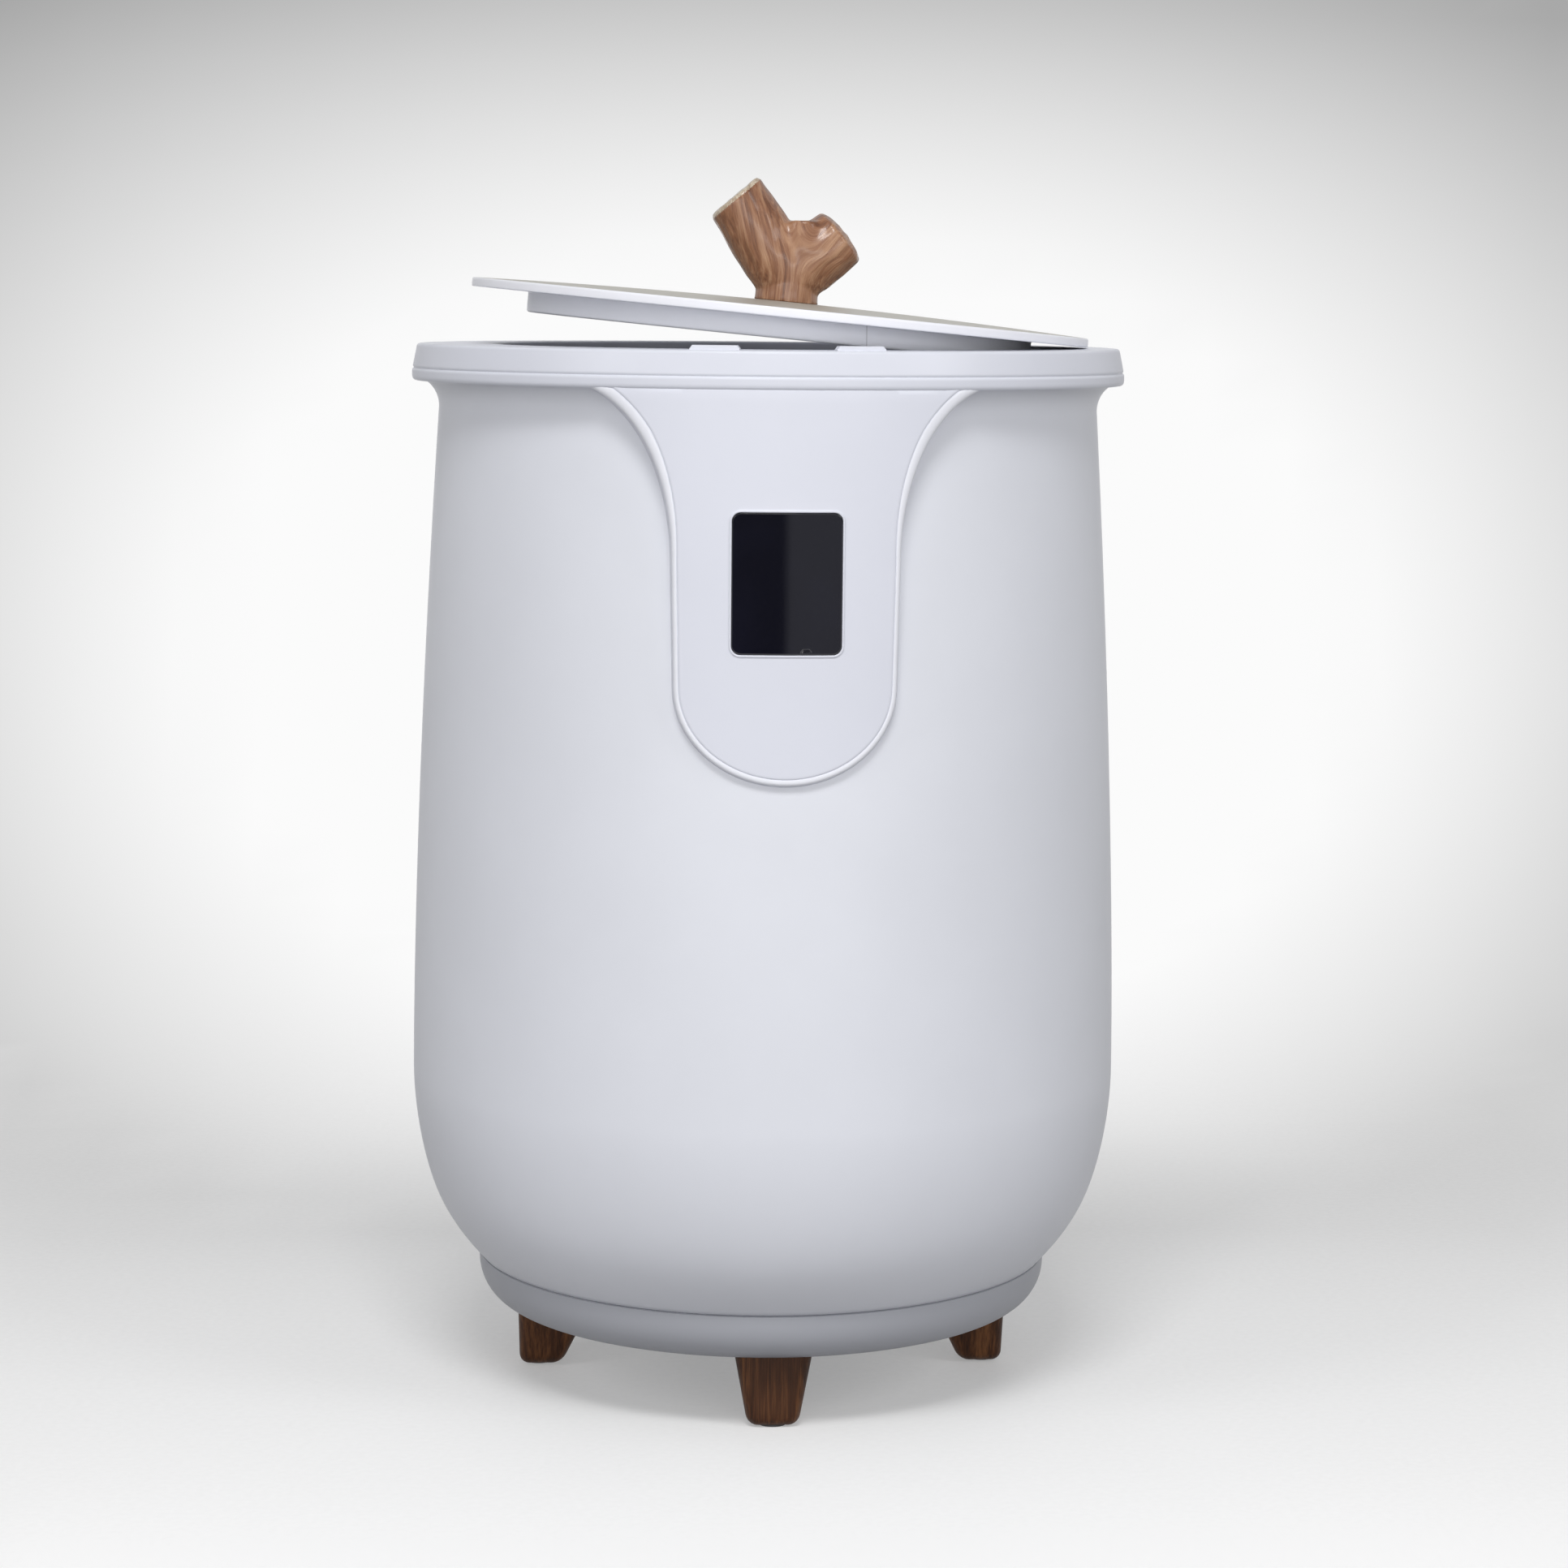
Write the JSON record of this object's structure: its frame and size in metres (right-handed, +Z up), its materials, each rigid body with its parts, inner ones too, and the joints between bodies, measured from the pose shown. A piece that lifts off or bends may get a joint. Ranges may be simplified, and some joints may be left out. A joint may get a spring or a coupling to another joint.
{
  "type": "bucket towel warmer",
  "caption": "White bucket towel warmer with a black display, four wooden feet and a loose lid with a forked branch handle.",
  "frame": {"origin": "on the floor, under the bucket's axis and the middle of its rim", "axes": "+Z up the bucket's axis, -Y out of the control panel, +X to the right as seen from the front, towards the lid's resting edge"},
  "size_m": [0.3219, 0.322, 0.5461],
  "materials": {
    "shell_white": "satin",
    "rim_white": "satin",
    "panel_glass": "polished",
    "handle_wood": "gloss lacquer",
    "foot_wood": "satin lacquer",
    "liner_metal": "black anodised",
    "pad_rubber": "matte",
    "screw_steel": "zinc plated",
    "heater_foil": "matte",
    "insulation_felt": "matte",
    "board_green": "satin",
    "part_plastic": "matte",
    "lead_plastic": "matte"
  },
  "bodies": {
    "bucket": {"outer_shell": "shell_white", "base_cover": "shell_white", "base_screws": "screw_steel", "foot_front": "foot_wood", "foot_right": "foot_wood", "foot_back": "foot_wood", "foot_left": "foot_wood", "foot_pads": "pad_rubber", "foot_screws": "screw_steel", "rim_collar": "rim_white", "rim_screws": "screw_steel", "control_panel": "rim_white", "panel_screws": "screw_steel", "display_glass": "panel_glass", "display_module": "part_plastic", "touch_springs": "screw_steel", "control_board": "board_green", "control_board_screws": "screw_steel", "panel_cable": "lead_plastic", "inner_liner": "liner_metal", "heater_film": "heater_foil", "insulation_sleeve": "insulation_felt", "floor_insulation": "insulation_felt", "thermostat": "part_plastic", "thermal_fuse": "part_plastic", "temperature_sensor": "screw_steel", "sensor_clips": "screw_steel", "power_board": "board_green", "power_board_screws": "screw_steel", "relay": "part_plastic", "transformer": "part_plastic", "capacitor": "part_plastic", "terminal_block": "part_plastic", "heater_leads": "lead_plastic", "sensor_leads": "lead_plastic", "cord_gland": "rim_white", "gland_nut": "rim_white"},
    "lid": {"lid_top": "rim_white", "lid_inner": "rim_white", "lid_insulation": "insulation_felt", "lid_screws": "screw_steel", "branch_handle": "handle_wood", "handle_screw": "screw_steel", "handle_washer": "screw_steel"}
  },
  "joints": [
    {"name": "lid_tip", "type": "hinge", "parent": "bucket", "child": "lid", "pos_m": [0.144, 0, 0.4713], "axis": [0, 1, 0], "range_deg": [-5.2, 84.8]}
  ]
}
